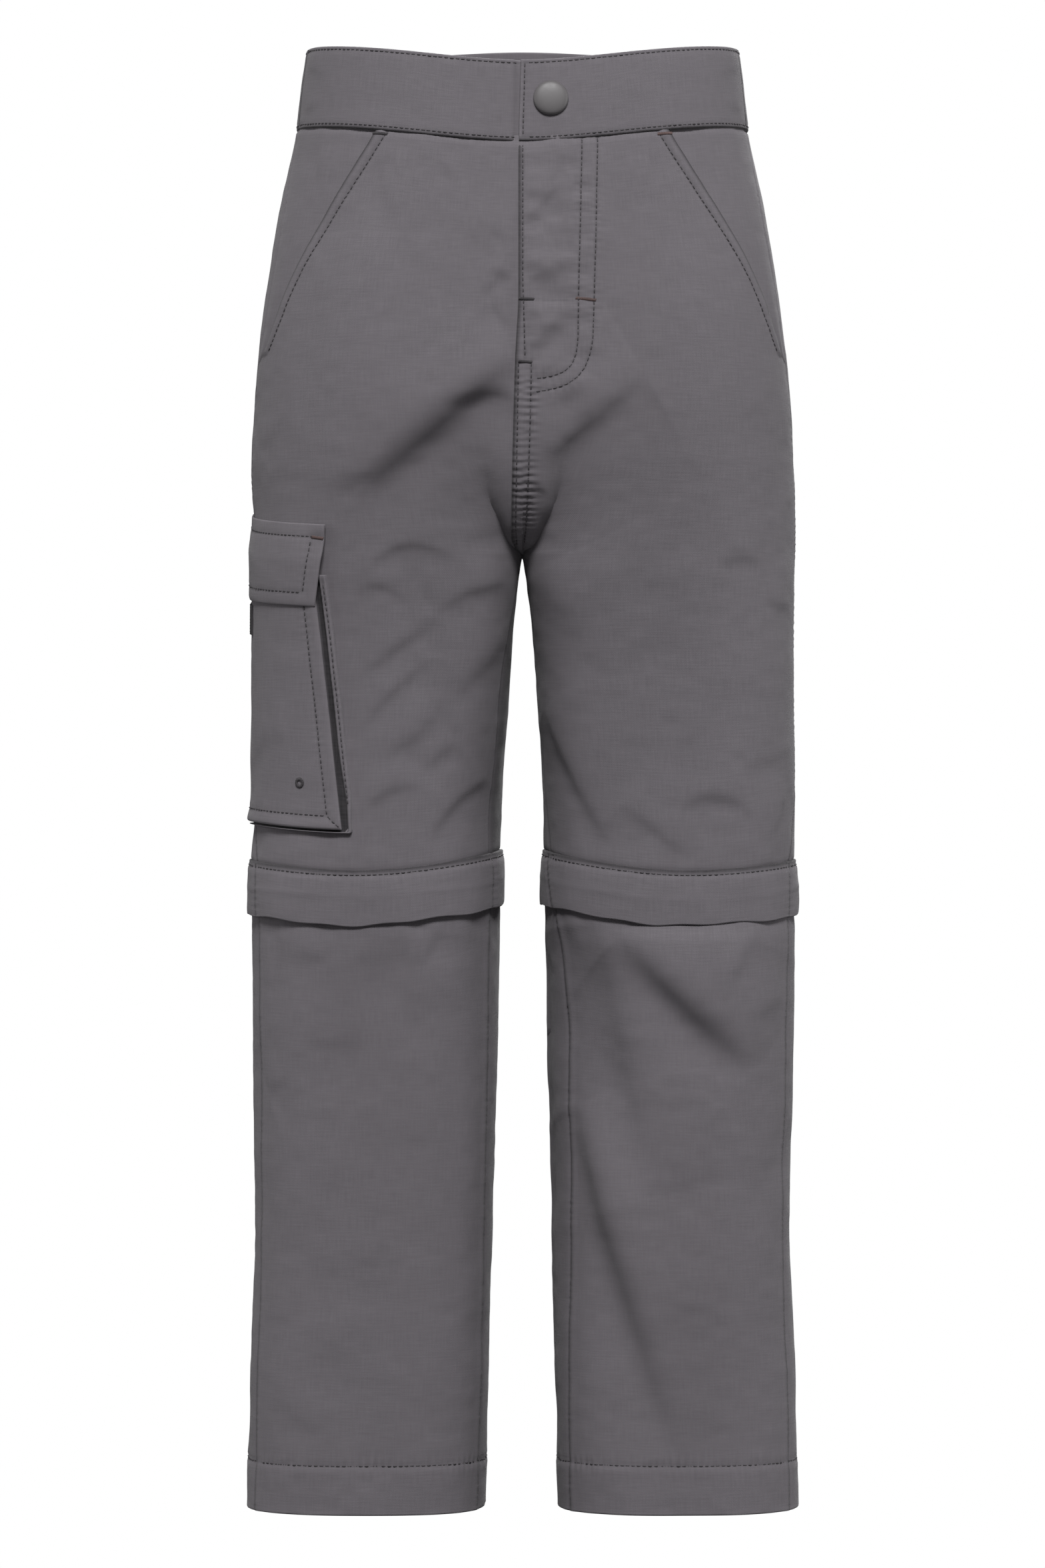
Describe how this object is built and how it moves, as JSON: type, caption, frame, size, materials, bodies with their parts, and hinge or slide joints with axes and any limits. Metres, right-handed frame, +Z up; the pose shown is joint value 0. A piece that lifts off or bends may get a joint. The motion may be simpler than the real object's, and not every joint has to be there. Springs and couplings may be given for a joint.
{
  "type": "zip-off trousers",
  "caption": "Child's zip-off trousers in worn shape: waistband with a snap, slant hip pockets, one flapped cargo pocket, and lower legs that zip on under knee flaps.",
  "frame": {"origin": "middle of the waistband, 680 mm above the hems, where the wearer's waist holds the trousers up", "axes": "+Z up along the legs, -Y to the front, +X to the wearer's left"},
  "size_m": [0.2664, 0.1788, 0.708],
  "materials": {
    "cloth": "fine plain-weave polyester-cotton, warm grey, soft sheen on fold crests",
    "zip": "dark grey knitted zip tape with a closed coil",
    "hook_tape": "dark ribbed fastener tape",
    "stud": "matt grey paint with a soft highlight"
  },
  "bodies": {
    "root": {"back_left": "cloth", "back_right": "cloth", "cargo_face": "cloth", "cargo_flap": "cloth", "cargo_gusset": "cloth", "cargo_tape": "hook_tape", "front_left": "cloth", "front_right": "cloth", "hip_pocket_left": "cloth", "hip_pocket_right": "cloth", "knee_flap_back_left": "cloth", "knee_flap_back_right": "cloth", "knee_flap_front_left": "cloth", "knee_flap_front_right": "cloth", "knee_zip_left": "zip", "knee_zip_right": "zip", "lower_back_left": "cloth", "lower_back_right": "cloth", "lower_front_left": "cloth", "lower_front_right": "cloth", "snap_cap": "stud", "waistband_back": "cloth", "waistband_front_left": "cloth", "waistband_front_right": "cloth", "zip_pull_left": "stud", "zip_pull_right": "stud", "zip_slider_left": "stud", "zip_slider_right": "stud"}
  },
  "joints": []
}
